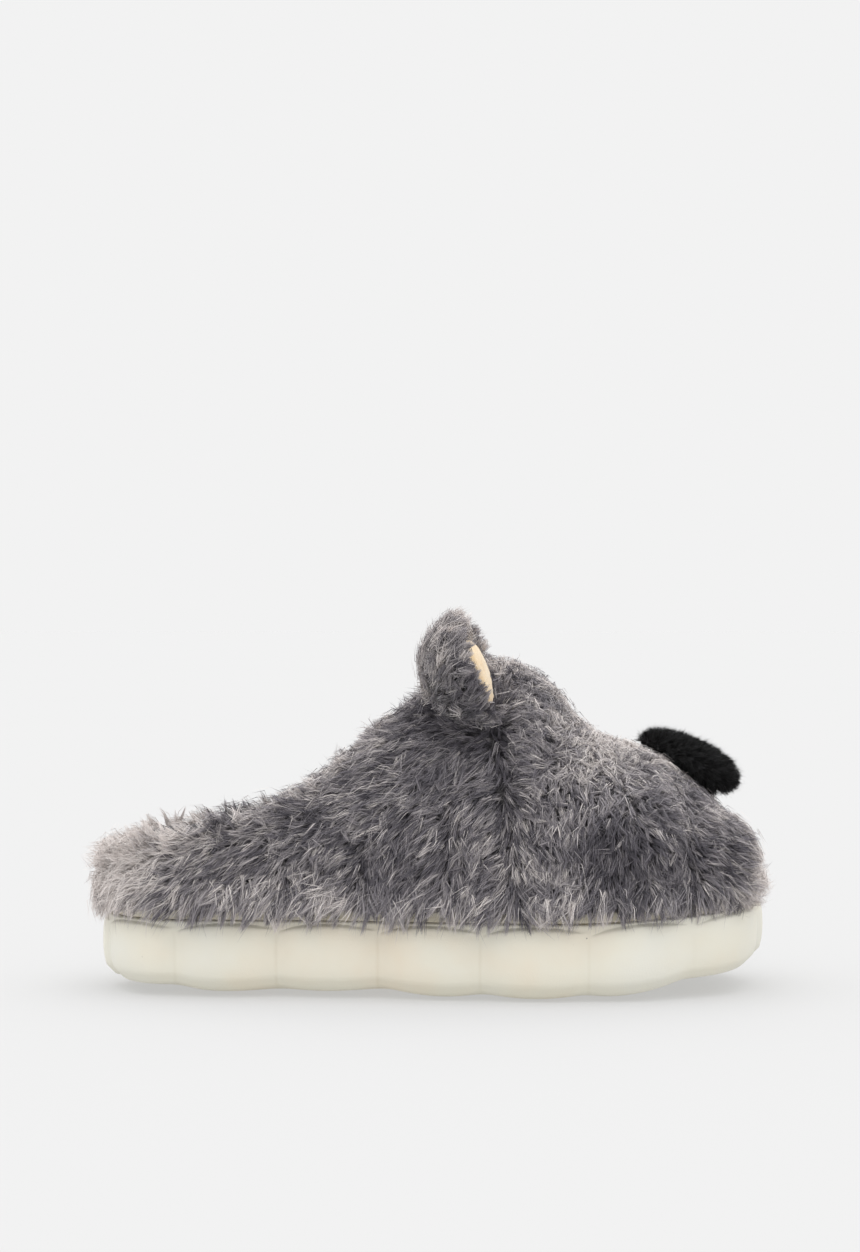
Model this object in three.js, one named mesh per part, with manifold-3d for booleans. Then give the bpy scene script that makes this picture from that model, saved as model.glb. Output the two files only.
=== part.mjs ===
// Animal-head slipper for the right foot: a puffed foam sole with a rand and a footbed, and
// over them a hollow plush upper with a stuffed head, two lined ears and a plush nose.
// Millimetres. +X points to the toe, +Y to the inner side of the foot, +Z up. The origin is
// the middle of the flat spot under the heel.
import * as THREE from 'three';
import { mergeVertices } from 'three/addons/utils/BufferGeometryUtils.js';
import Module from 'manifold-3d';

const wasm = await Module();
wasm.setup();

// Sizes of the sole.
const SOLE_LENGTH = 270;
const BALL_WIDTH = 103;
const SOLE_HEIGHT = 30.5;
const HEEL_SPOT = 55; // from the back of the sole to the middle of the heel's flat spot
const LOBE_BULGE = 2.8;
const LOBE_LIFT = 2.4; // how far a valley rises under the sole's edge
const LOBE_SQUARE = 3; // how flat a lobe is between its valleys
const UNDER_ROUND = 0.4; // levels of the sole's side, as shares of its height
const SHOULDER = 0.8;
const SCALLOP = 0.97;
const SCALLOP_DROP = 0.09; // how far the lobe's upper edge sinks in a valley
const TREAD_INSET = 10.5; // from the widest outline to the edge of the tread
const TREAD_CAMBER = 1.3; // how far the tread's edge lies higher than its middle at the heel
const TREAD_FADE = 13; // width over which the valleys fade out under the sole
const FLANGE_INSET = 2.7;
const TOP_EDGE = 0.6;
const HEEL_BEVEL = 3.4; // how far the sole lies off the floor at its heel, arch and toe
const ARCH_RISE = 1;
const TOE_SPRING = 11.8;
const SPRING_POWER = 1.15; // how the spring gathers towards the toe
const TOP_LIFT = 4.5; // how far the sole's top rises at the toe
const LIFT_POWER = 1.2;

// Sizes of the rand, the footbed and the gap between touching pieces.
const GAP = 0.3;
const RAND_INSET = 3.5;
const RAND_HEIGHT = 4;
const RAND_EDGE = 0.4;
const INSOLE_HEIGHT = 5;
const INSOLE_EDGE = 1.2;

// Sizes of the upper.
const WAIST = 8; // from the upper's foot to its widest level
const CROWN_RISE = 91; // from the widest level to the crown
const OVERHANG = 1.5; // how far the widest level stands out over the sole
const TOE_DRAW = 5; // how far it draws back again at the toe
const TUCK = 4.5; // how far the upper's foot draws in below its widest level
const WALL = 11; // cloth, backing and pile
const SEAM_AT = 0.59; // the seam between quarters and head, as a share of the sole's length
const SEAM_SLANT = 6; // how far its foot lies further forward
const SEAM_DEPTH = 2.6;
const SEAM_WIDTH = 7;
const LOCK_LENGTH = 21;
const LOCK_BASE = 11;
const LOCK_RISE = 4;
const LOCK_BACK = 0.3; // share of a lock's length behind its broadest place
const LOCK_ROOT = 1.5; // how deep a lock is rooted
const LOCK_PITCH = 23;
const LOCK_ROW_PITCH = 0.85; // between rows, as a share of the pitch in a row
const LOCK_STAGGER = 0.25; // how far rows are staggered and locks stray, as shares of the pitch
const LOCK_END = 0.012; // how near a row comes to the form's foot, as a share of its arch
const LOCK_SMALLEST = 0.85; // sizes of locks, as shares of a whole one
const LOCK_SPREAD = 0.3;
const COLLAR_LOCK = 0.8;
const EAR_LOCK = 0.65;
const LOCK_FADE = 0.4; // share by which locks are shorter at the heel and the toe
const LOCK_CLEAR = 7; // how far locks keep off the ears and the nose
const LOCK_OVER = 4; // how far inside the collar's cut a lock may stand
const ROLL_LEAST = 5; // radius of the collar's rolled edge
const ROLL_MOST = 9.5;

// Sizes of the ears and the nose.
const EAR_HEIGHT = 46;
const EAR_WIDTH = 42;
const EAR_DEPTH = 19; // from the front of the ear's middle plane to its furred back
const EAR_FRONT = 4.5; // how far the rim swells forward of that plane
const EAR_RIM = 8; // furred rim round the lining
const EAR_PUFF = 5.8; // how far the stuffed lining swells forward of that plane
const LINING_SEAT = 2; // how deep the lining is seated behind that plane
const LINING_SQUARE = 3; // 2 is an ellipsoid, more is squarer
const NOSE_LENGTH = 44;
const NOSE_WIDTH = 31;
const NOSE_HEIGHT = 20;
const NOSE_SQUARE = 2.4;

// Half widths of the sole's outline as shares of the ball width, along its length.
const OUTLINE = [
  { at: 0.022, lateral: 0.195, medial: 0.195 },
  { at: 0.075, lateral: 0.325, medial: 0.322 },
  { at: 0.15, lateral: 0.365, medial: 0.355 },
  { at: 0.28, lateral: 0.375, medial: 0.345 },
  { at: 0.41, lateral: 0.413, medial: 0.34 },
  { at: 0.54, lateral: 0.472, medial: 0.385 },
  { at: 0.665, lateral: 0.505, medial: 0.455 },
  { at: 0.76, lateral: 0.498, medial: 0.49 },
  { at: 0.85, lateral: 0.442, medial: 0.488 },
  { at: 0.925, lateral: 0.345, medial: 0.432 },
  { at: 0.975, lateral: 0.195, medial: 0.315 },
];
const TOE_TIP = { at: 1, medial: 0.078 };

// Valleys between the sole's lobes on either side. One more lobe wraps each end.
const VALLEYS = [0.006, 0.12, 0.27, 0.418, 0.566, 0.722, 0.877, 0.995];

// Crest of the upper's outer form, as shares of the crown's rise above the widest level,
// and the squareness of its sections.
const OUTER = [
  { at: 0, rise: 0, square: 2.3 },
  { at: 0.0055, rise: 0.066, square: 2.3 },
  { at: 0.013, rise: 0.143, square: 2.3 },
  { at: 0.024, rise: 0.231, square: 2.3 },
  { at: 0.042, rise: 0.34, square: 2.3 },
  { at: 0.079, rise: 0.473, square: 2.3 },
  { at: 0.153, rise: 0.604, square: 2.25 },
  { at: 0.226, rise: 0.692, square: 2.2 },
  { at: 0.336, rise: 0.802, square: 2.2 },
  { at: 0.447, rise: 0.896, square: 2.2 },
  { at: 0.539, rise: 0.962, square: 2.2 },
  { at: 0.601, rise: 1, square: 2.15 },
  { at: 0.638, rise: 0.984, square: 2.1 },
  { at: 0.675, rise: 0.912, square: 2.1 },
  { at: 0.704, rise: 0.819, square: 2.1 },
  { at: 0.733, rise: 0.714, square: 2.1 },
  { at: 0.767, rise: 0.648, square: 2.1 },
  { at: 0.807, rise: 0.61, square: 2.1 },
  { at: 0.851, rise: 0.555, square: 2.1 },
  { at: 0.895, rise: 0.46, square: 2.15 },
  { at: 0.932, rise: 0.345, square: 2.2 },
  { at: 0.961, rise: 0.215, square: 2.2 },
  { at: 0.984, rise: 0.09, square: 2.2 },
  { at: 1, rise: 0, square: 2.2 },
];

// Crest of the hollow inside, in the same shares.
const INNER = [
  { at: 0, rise: 0, square: 2.5 },
  { at: 0.01, rise: 0.209, square: 2.5 },
  { at: 0.022, rise: 0.319, square: 2.5 },
  { at: 0.05, rise: 0.429, square: 2.4 },
  { at: 0.123, rise: 0.538, square: 2.4 },
  { at: 0.204, rise: 0.604, square: 2.3 },
  { at: 0.325, rise: 0.681, square: 2.3 },
  { at: 0.446, rise: 0.736, square: 2.3 },
  { at: 0.547, rise: 0.758, square: 2.3 },
  { at: 0.616, rise: 0.736, square: 2.3 },
  { at: 0.689, rise: 0.67, square: 2.3 },
  { at: 0.762, rise: 0.538, square: 2.3 },
  { at: 0.842, rise: 0.429, square: 2.3 },
  { at: 0.911, rise: 0.297, square: 2.3 },
  { at: 0.96, rise: 0.165, square: 2.4 },
  { at: 0.984, rise: 0.077, square: 2.4 },
  { at: 1, rise: 0, square: 2.4 },
];

// Middle of the collar's rolled edge: along the sole's length, and above the widest level
// as shares of the crown's rise.
const COLLAR = [
  { at: -0.05, rise: 0.04 },
  { at: 0.015, rise: 0.08 },
  { at: 0.055, rise: 0.145 },
  { at: 0.13, rise: 0.19 },
  { at: 0.215, rise: 0.247 },
  { at: 0.274, rise: 0.291 },
  { at: 0.333, rise: 0.396 },
  { at: 0.378, rise: 0.516 },
  { at: 0.422, rise: 0.621 },
  { at: 0.47, rise: 0.747 },
  { at: 0.519, rise: 0.83 },
  { at: 0.56, rise: 0.94 },
  { at: 0.6, rise: 1.3 },
];

// Stuffed puffs of the head: their middles along the sole, out from its axis to either side
// and up, and their half sizes. Lengths are shares of the sole's length, widths of the ball
// width and heights of the crown's rise.
const PUFFS = [
  { at: 0.77, lateral: 0.35, medial: 0.35, up: 0.2, long: 0.115, wide: 0.18, high: 0.28 },
  { at: 0.922, lateral: 0.195, medial: 0.25, up: 0.12, long: 0.061, wide: 0.185, high: 0.22 },
];

// Ears and nose in the same shares, with their tilts in degrees.
const EAR = { at: 0.56, out: 0.275, up: 0.912, lean: -20, turn: 6, splay: 10 };
const NOSE = { at: 0.883, medial: 0.039, up: 0.522, slope: 23 };

// Which way the pile lies along the sole: towards the toe and up, low and high on the form.
const FLOW = [
  { at: 0, lowX: -0.75, lowZ: -0.5, highX: -0.8, highZ: 0.2 },
  { at: 0.2, lowX: -0.7, lowZ: -0.6, highX: -0.85, highZ: 0.1 },
  { at: 0.45, lowX: -0.55, lowZ: -0.8, highX: -0.8, highZ: -0.3 },
  { at: 0.6, lowX: -0.2, lowZ: -1, highX: -0.6, highZ: 0.5 },
  { at: 0.7, lowX: 0.1, lowZ: -1, highX: 0.5, highZ: -0.5 },
  { at: 0.85, lowX: 0.4, lowZ: -0.9, highX: 0.8, highZ: -0.3 },
  { at: 1, lowX: 0.5, lowZ: -0.85, highX: 0.8, highZ: -0.6 },
];

// Flat stretches under the sole, and where its top begins to rise, along its length.
const HEEL_FLAT = { from: 0.155, to: 0.27 };
const FORE_FLAT = { from: 0.555, to: 0.74 };
const BEVEL_WIDTH = 0.07; // stretch over which the heel lifts off, as a share of the length
const LIFT_START = 0.72;

const MATERIALS = {
  foam: { color: 0xdfdbcc, roughness: 0.85, metalness: 0 },
  board: { color: 0xd8d2c0, roughness: 0.9, metalness: 0 },
  footbed: { color: 0xb9b4ad, roughness: 0.95, metalness: 0 },
  fur: { color: 0x6e6b6c, roughness: 1, metalness: 0 },
  lining: { color: 0xe4ccac, roughness: 0.9, metalness: 0 },
  nose: { color: 0x141414, roughness: 0.95, metalness: 0 },
};

const RUNGS = 32; // sections from heel to toe
const ARCH_STEPS = 12;
const SAMPLES_PER_LOBE = 6;
const RING_POINTS = 40;
const BALL_SIDES = 16;
const BALL_RINGS = 10;

const V = (x, y, z) => new THREE.Vector3(x, y, z);
const xAt = (share) => share * SOLE_LENGTH - HEEL_SPOT;
const shareAt = (x) => (x + HEEL_SPOT) / SOLE_LENGTH;

// A smooth curve through one column of a table, held at its end values.
function column(rows, name) {
  const curve = new THREE.CubicInterpolant(
    rows.map((row) => row.at),
    rows.map((row) => row[name]),
    1,
  );
  const first = rows[0].at;
  const last = rows[rows.length - 1].at;
  return (at) => curve.evaluate(THREE.MathUtils.clamp(at, first, last))[0];
}

// The sole's widest outline in plan: from the heel along the outer side to the toe and
// back along the inner side.
const outline = new THREE.CatmullRomCurve3(
  [
    V(xAt(0), 0, 0),
    ...OUTLINE.map((row) => V(xAt(row.at), -row.lateral * BALL_WIDTH, 0)),
    V(xAt(TOE_TIP.at), TOE_TIP.medial * BALL_WIDTH, 0),
    ...OUTLINE.toReversed().map((row) => V(xAt(row.at), row.medial * BALL_WIDTH, 0)),
  ],
  true,
);
outline.arcLengthDivisions = 1200;

// Arc share of the toe tip, where the outer side ends and the inner side begins.
const TOE_SHARE = (() => {
  const steps = 1200;
  let best = 0;
  for (let i = 0; i <= steps; i++) {
    if (outline.getPointAt(i / steps).x > outline.getPointAt(best).x) best = i / steps;
  }
  return best;
})();

// A point of the outline moved `out` along its outward normal.
function planPoint(share, out) {
  const u = THREE.MathUtils.euclideanModulo(share, 1);
  const along = outline.getTangentAt(u);
  return outline.getPointAt(u).add(V(along.y, -along.x, 0).multiplyScalar(out));
}

// Turns triangles into one closed body whose faces point out.
function solid(triangles) {
  const kept = triangles.filter(
    ([a, b, c]) => a.distanceTo(b) > 1e-4 && b.distanceTo(c) > 1e-4 && c.distanceTo(a) > 1e-4,
  );
  let volume = 0;
  const cross = new THREE.Vector3();
  for (const [a, b, c] of kept) volume += a.dot(cross.crossVectors(b, c));
  const flat = kept.flatMap(([a, b, c]) => (volume < 0 ? [a, c, b] : [a, b, c]));
  const loose = new THREE.BufferGeometry().setFromPoints(flat);
  const merged = mergeVertices(loose, 1e-4);
  return new wasm.Manifold(
    new wasm.Mesh({
      numProp: 3,
      vertProperties: merged.attributes.position.array,
      triVerts: new Uint32Array(merged.index.array),
    }),
  );
}

// Triangles between neighbouring rows of points.
function skin(rows) {
  const triangles = [];
  for (let i = 0; i + 1 < rows.length; i++) {
    for (let j = 0; j + 1 < rows[i].length; j++) {
      const [a, b, c, d] = [rows[i][j], rows[i][j + 1], rows[i + 1][j + 1], rows[i + 1][j]];
      triangles.push([a, b, c], [a, c, d]);
    }
  }
  return triangles;
}

// Triangles that close a ring, laid across it from heel to toe.
function across(ring) {
  const heel = ring.reduce((best, p, i) => (p.x < ring[best].x ? i : best), 0);
  const turned = [...ring.slice(heel), ...ring.slice(0, heel)];
  const toe = turned.reduce((best, p, i) => (p.x > turned[best].x ? i : best), 0);
  const near = turned.slice(0, toe + 1);
  const far = [turned[0], ...turned.slice(toe).reverse()];
  const triangles = [];
  let i = 0;
  let j = 0;
  while (i + 1 < near.length || j + 1 < far.length) {
    const nearIsNext = i + 1 < near.length && near[i + 1].x <= (far[j + 1] ?? V(Infinity, 0, 0)).x;
    if (nearIsNext || j + 1 === far.length) {
      triangles.push([near[i], near[i + 1], far[j]]);
      i += 1;
    } else {
      triangles.push([near[i], far[j + 1], far[j]]);
      j += 1;
    }
  }
  return triangles;
}

// A body of stacked rings, closed at the bottom and the top.
function stack(rings) {
  const sides = skin(rings.map((ring) => [...ring, ring[0]]));
  const bottom = across(rings[0]).map(([a, b, c]) => [a, c, b]);
  return solid([...sides, ...bottom, ...across(rings[rings.length - 1])]);
}

// A rounded pad of three half sizes, placed by a matrix. A square of 2 is an ellipsoid.
function pad(half, matrix, square = 2) {
  const shape = new THREE.SphereGeometry(1, BALL_SIDES, BALL_RINGS);
  const points = shape.attributes.position;
  for (let i = 0; i < points.count; i++) {
    const point = V().fromBufferAttribute(points, i);
    const sum = point.toArray().reduce((total, value) => total + Math.abs(value) ** square, 0);
    point.divideScalar(sum ** (1 / square)).multiply(half);
    points.setXYZ(i, point.x, point.y, point.z);
  }
  return fromGeometry(shape.applyMatrix4(matrix));
}

// A closed geometry as a solid.
function fromGeometry(geometry) {
  geometry.deleteAttribute('normal');
  geometry.deleteAttribute('uv');
  const points = (geometry.index ? geometry.toNonIndexed() : geometry).attributes.position;
  const triangles = [];
  for (let i = 0; i < points.count; i += 3) {
    triangles.push([0, 1, 2].map((k) => V().fromBufferAttribute(points, i + k)));
  }
  return solid(triangles);
}

// Height of the sole's underside, of its top and of the upper's foot at a place along it.
function soleUnder(x) {
  const at = shareAt(x);
  const { smoothstep } = THREE.MathUtils;
  if (at < HEEL_FLAT.from) return HEEL_BEVEL * smoothstep(HEEL_FLAT.from - at, 0, BEVEL_WIDTH);
  const sprung = (at - FORE_FLAT.to) / (1 - FORE_FLAT.to);
  if (sprung > 0) return TOE_SPRING * sprung ** SPRING_POWER;
  const part = (at - HEEL_FLAT.to) / (FORE_FLAT.from - HEEL_FLAT.to);
  return part > 0 && part < 1 ? ARCH_RISE * Math.sin(Math.PI * part) ** 2 : 0;
}

// How far the tread's edge rises under the heel's lobes, fading out towards both ends.
function camberAt(at) {
  const { smoothstep } = THREE.MathUtils;
  const rising = smoothstep(at, HEEL_FLAT.from - BEVEL_WIDTH, HEEL_FLAT.from);
  return TREAD_CAMBER * rising * (1 - smoothstep(at, HEEL_FLAT.to, FORE_FLAT.from));
}

function soleTop(x) {
  const part = Math.max(0, (shareAt(x) - LIFT_START) / (1 - LIFT_START));
  return SOLE_HEIGHT + TOP_LIFT * part ** LIFT_POWER;
}

const upperFoot = (x) => soleTop(x) + RAND_HEIGHT + 2 * GAP;

// Height of a share of the crown's rise above the upper's widest level.
const formHeight = (share) => SOLE_HEIGHT + RAND_HEIGHT + 2 * GAP + WAIST + CROWN_RISE * share;

// One upright section of the sole's edge, from under the tread to the top. `off` is 0 in the
// middle of a lobe and 1 in the valley beside it.
function soleSection(share, off) {
  const x = planPoint(share, 0).x;
  const tread = planPoint(share, -TREAD_INSET).x;
  const under = soleUnder(tread) + camberAt(shareAt(tread));
  const height = soleTop(x) - under;
  const widest = -LOBE_BULGE * off ** LOBE_SQUARE;
  const edge = under + LOBE_LIFT * off ** 2;
  const knee = under + UNDER_ROUND * height;
  const shoulder = under + (SHOULDER - SCALLOP_DROP * off ** 2) * height;
  const scallop = under + (SCALLOP - SCALLOP_DROP * off ** 2) * height;
  const place = (out, z) => planPoint(share, out).setZ(z);
  const inside = planPoint(share, -TREAD_INSET - TREAD_FADE);
  const points = [inside.setZ(soleUnder(inside.x)), place(-TREAD_INSET, edge)];
  for (const angle of [30, 60, 90]) {
    const turn = THREE.MathUtils.degToRad(angle);
    const out = -TREAD_INSET + (TREAD_INSET + widest) * Math.sin(turn);
    points.push(place(out, knee - (knee - edge) * Math.cos(turn)));
  }
  for (const angle of [0, 50, 90]) {
    const turn = THREE.MathUtils.degToRad(angle);
    const out = -FLANGE_INSET + (widest + FLANGE_INSET) * Math.cos(turn);
    points.push(place(out, shoulder + (scallop - shoulder) * Math.sin(turn)));
  }
  const top = planPoint(share, -FLANGE_INSET - TOP_EDGE);
  points.push(place(-FLANGE_INSET, soleTop(x) - TOP_EDGE), top.setZ(soleTop(top.x)));
  return points;
}

// Arc share of the outline at a share of the sole's length, on its outer or inner side.
function arcShare(at, inner) {
  const ahead = (share) => planPoint(share, 0).x - xAt(at);
  return inner ? crossing(ahead, TOE_SHARE, 1) : crossing(ahead, 0, TOE_SHARE);
}

function makeSole() {
  const outer = VALLEYS.map((at) => arcShare(at, false));
  const inner = VALLEYS.toReversed().map((at) => arcShare(at, true));
  const valleys = [...outer, ...inner, outer[0] + 1];
  const sections = [];
  for (let i = 0; i + 1 < valleys.length; i++) {
    for (let k = 0; k < SAMPLES_PER_LOBE; k++) {
      const part = k / SAMPLES_PER_LOBE;
      const share = THREE.MathUtils.lerp(valleys[i], valleys[i + 1], part);
      sections.push(soleSection(share, Math.abs(2 * part - 1)));
    }
  }
  return stack(sections[0].map((_, level) => sections.map((section) => section[level])));
}

// How far the upper draws back from the outline towards the toe, along one side.
const toeDraw = (along) => TOE_DRAW * THREE.MathUtils.smoothstep(along, 0.88, 1);
const alongOf = (share) => (share < TOE_SHARE ? share / TOE_SHARE : (1 - share) / (1 - TOE_SHARE));

// A plate with rounded edges that follows the sole's top.
function plate(inset, lift, height, edge) {
  const ring = (draw, up) =>
    Array.from({ length: RING_POINTS }, (_, k) => {
      const share = k / RING_POINTS;
      const point = planPoint(share, -inset(alongOf(share)) - draw);
      return point.setZ(soleTop(point.x) + lift + up);
    });
  return stack([ring(edge, 0), ring(0, edge), ring(0, height - edge), ring(edge, height)]);
}

const makeRand = () => plate(() => RAND_INSET, GAP, RAND_HEIGHT, RAND_EDGE);
const makeInsole = () => {
  const inset = (along) => WALL - OVERHANG + 2 * GAP + toeDraw(along);
  return plate(inset, RAND_HEIGHT + 2 * GAP, INSOLE_HEIGHT, INSOLE_EDGE);
};

// A domed form over the outline. point() takes a place along it from heel to toe and a turn
// from the outer side (0) over the crest (0.5) to the inner side (1).
function domedForm(rows, out, grow, seamDepth) {
  const rise = column(rows, 'rise');
  const square = column(rows, 'square');
  const reach = (along) => out + grow - toeDraw(along);
  const side = (along, inner, draw) => {
    const share = inner ? 1 - along * (1 - TOE_SHARE) : along * TOE_SHARE;
    return planPoint(share, reach(along) - draw);
  };
  const heel = side(0, false, 0).x;
  const toe = side(1, false, 0).x;
  const point = (along, turn) => {
    const lateral = side(along, false, 0);
    const medial = side(along, true, 0);
    const at = ((lateral.x + medial.x) / 2 - heel) / (toe - heel);
    const power = 2 / square(at);
    const swing = Math.sign(0.5 - turn) * Math.abs(Math.cos(Math.PI * turn)) ** power;
    const arch = Math.max(0, Math.sin(Math.PI * turn)) ** power;
    const place = lateral.clone().lerp(medial, (1 - swing) / 2);
    const offSeam = (place.x - xAt(SEAM_AT) - SEAM_SLANT * (1 - arch)) / SEAM_WIDTH;
    const pinch = seamDepth * Math.exp(-(offSeam ** 2)) * swing;
    const span = Math.max(1, lateral.distanceTo(medial));
    place.add(medial.clone().sub(lateral).multiplyScalar(pinch / span));
    const low = upperFoot(place.x) + WAIST;
    return place.setZ(low + (CROWN_RISE * Math.max(0, rise(at)) + grow) * arch);
  };
  return { side, point };
}

// The closed body of a domed form, drawn in below its widest level.
function formBody(form, levels) {
  const rows = [];
  for (let i = 0; i <= RUNGS; i++) {
    rows.push(Array.from({ length: ARCH_STEPS + 1 }, (_, j) => form.point(i / RUNGS, j / ARCH_STEPS)));
  }
  const inOrder = (pick) => [
    ...rows.map((_, i) => pick(i, false)),
    ...rows.map((_, i) => pick(RUNGS - i, true)),
  ];
  const rings = [inOrder((i, inner) => rows[i][inner ? ARCH_STEPS : 0])];
  for (const { draw, drop } of levels) {
    rings.push(
      inOrder((i, inner) => {
        const place = form.side(i / RUNGS, inner, draw);
        return place.setZ(upperFoot(place.x) + WAIST - drop);
      }),
    );
  }
  const foot = rings[rings.length - 1];
  const under = rows.map((_, i) => [foot[i], foot[2 * RUNGS + 1 - i]]);
  return solid([
    ...skin(rows),
    ...skin(rings),
    ...skin(under).map(([a, b, c]) => [a, c, b]),
  ]);
}

const TUCKED = [
  { draw: 0.13 * TUCK, drop: 0.5 * WAIST },
  { draw: 0.5 * TUCK, drop: 0.87 * WAIST },
  { draw: TUCK, drop: WAIST },
];
const outerForm = domedForm(OUTER, OVERHANG, 0, SEAM_DEPTH);
const seatForm = domedForm(OUTER, OVERHANG, GAP, 0);
const innerForm = domedForm(INNER, OVERHANG - WALL, 0, 0);
const makeInner = () => formBody(innerForm, [{ draw: 0, drop: 2 * WAIST }]);

// Middle of the wall, and the line that the collar's edge follows along it.
const collarRise = column(COLLAR, 'rise');
const collarHeight = (x) => formHeight(collarRise(shareAt(x)));
const wallMiddle = (along, turn) => outerForm.point(along, turn).lerp(innerForm.point(along, turn), 0.5);
const overCollar = (point) => point.z - collarHeight(point.x);

// Where a function of one number passes through zero.
function crossing(f, from, to) {
  let [low, high] = [from, to];
  const rising = f(to) > f(from);
  for (let i = 0; i < 40; i++) {
    const middle = (low + high) / 2;
    if (f(middle) > 0 === rising) high = middle;
    else low = middle;
  }
  return (low + high) / 2;
}

const COLLAR_POINTS = 14; // on each side

// The collar's rolled edge, from the heel along the outer side to the throat and back.
function collarPath() {
  const crest = (along) => overCollar(wallMiddle(along, 0.5));
  const heel = crossing(crest, 0, 0.2);
  const throat = crossing(crest, 0.4, 0.66);
  const path = [];
  for (let k = 0; k < 2 * COLLAR_POINTS; k++) {
    const inner = k > COLLAR_POINTS;
    const along = heel + ((throat - heel) * (1 - Math.cos((Math.PI * k) / COLLAR_POINTS))) / 2;
    const toTurn = (t) => (inner ? 1 - t : t);
    const turn = toTurn(crossing((t) => overCollar(wallMiddle(along, toTurn(t))), 0, 0.5));
    const wall = outerForm.point(along, turn).distanceTo(innerForm.point(along, turn));
    const radius = THREE.MathUtils.clamp(wall / 2, ROLL_LEAST, ROLL_MOST);
    path.push({ place: wallMiddle(along, turn), radius });
  }
  return path;
}

// Directions across the collar's path at one of its points: outwards and upwards.
function collarFrame(path, k) {
  const before = path[(k + path.length - 1) % path.length].place;
  const after = path[(k + 1) % path.length].place;
  const along = after.clone().sub(before).normalize();
  const up = V(0, 0, 1).addScaledVector(along, -along.z).normalize();
  return { along, up, out: up.clone().cross(along).negate() };
}

const TUBE_SIDES = 8;

// The rolled edge as a tube, as thick as the wall it closes.
function collarRoll(path, grow) {
  const rows = path.map(({ place, radius }, k) => {
    const { up, out } = collarFrame(path, k);
    return Array.from({ length: TUBE_SIDES + 1 }, (_, s) => {
      const turn = (2 * Math.PI * (s % TUBE_SIDES)) / TUBE_SIDES;
      return place
        .clone()
        .addScaledVector(out, Math.cos(turn) * (radius + grow))
        .addScaledVector(up, Math.sin(turn) * (radius + grow));
    });
  });
  return solid(skin([...rows, rows[0]]));
}

// Everything above the collar's line.
function collarCut() {
  const from = xAt(COLLAR[0].at);
  const to = xAt(COLLAR[COLLAR.length - 1].at);
  const above = 2 * formHeight(1);
  const shape = new THREE.Shape();
  shape.moveTo(from, above);
  const steps = 40;
  for (let i = 0; i <= steps; i++) {
    const x = THREE.MathUtils.lerp(from, to, i / steps);
    shape.lineTo(x, collarHeight(x));
  }
  shape.lineTo(to, above);
  const block = new THREE.ExtrudeGeometry(shape, { depth: 2 * BALL_WIDTH, bevelEnabled: false });
  return fromGeometry(block.rotateX(Math.PI / 2).translate(0, BALL_WIDTH, 0));
}

// The head's puffs, as half sizes and middles on both sides.
const puffs = PUFFS.flatMap((row) =>
  [-row.lateral, row.medial].map((share) => ({
    middle: V(xAt(row.at), share * BALL_WIDTH, formHeight(row.up)),
    half: V(row.long * SOLE_LENGTH, row.wide * BALL_WIDTH, row.high * CROWN_RISE),
  })),
);

// Where a lock ends: along the pile's flow and off the cloth.
const lockTip = (root, normal, flow, size) =>
  root
    .clone()
    .addScaledVector(flow, (1 - LOCK_BACK) * LOCK_LENGTH * size)
    .addScaledVector(normal, LOCK_RISE * size);

// A pointed lock of pile, broad where it leaves the cloth. Its root lies under the surface.
function lock(root, normal, flow, size) {
  const breadth = new THREE.Vector3().crossVectors(normal, flow).normalize();
  const half = (LOCK_BASE * size) / 2;
  const from = (along, side, up) =>
    root.clone().addScaledVector(flow, along).addScaledVector(breadth, side).addScaledVector(normal, up);
  const back = from(-LOCK_BACK * LOCK_LENGTH * size, 0, -LOCK_ROOT);
  const left = from(0, half, -LOCK_ROOT);
  const right = from(0, -half, -LOCK_ROOT);
  const ridge = from(0, 0, 0.5 * LOCK_RISE);
  const tip = lockTip(root, normal, flow, size);
  return solid([
    [back, left, ridge],
    [back, ridge, right],
    [tip, ridge, left],
    [tip, right, ridge],
    [back, right, left],
    [tip, left, right],
  ]);
}

// The smallest distance-like value of a point to an ellipsoid: below 1 it lies inside.
const within = (point, middle, half, margin) =>
  Math.hypot(
    (point.x - middle.x) / (half.x + margin),
    (point.y - middle.y) / (half.y + margin),
    (point.z - middle.z) / (half.z + margin),
  );

const flowColumns = ['lowX', 'lowZ', 'highX', 'highZ'].map((name) => column(FLOW, name));

// The direction of the pile on the surface at a point.
function pileFlow(point, normal, arch) {
  const [lowX, lowZ, highX, highZ] = flowColumns.map((f) => f(shareAt(point.x)));
  const lie = V(THREE.MathUtils.lerp(lowX, highX, arch), 0, THREE.MathUtils.lerp(lowZ, highZ, arch));
  return lie.addScaledVector(normal, -lie.dot(normal)).normalize();
}

// The outward normal of the upper's outer form.
function formNormal(along, turn) {
  const step = 0.004;
  const ahead = outerForm.point(along + step, turn).sub(outerForm.point(along - step, turn));
  const over = outerForm.point(along, turn + step).sub(outerForm.point(along, turn - step));
  return ahead.cross(over).normalize();
}

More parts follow.
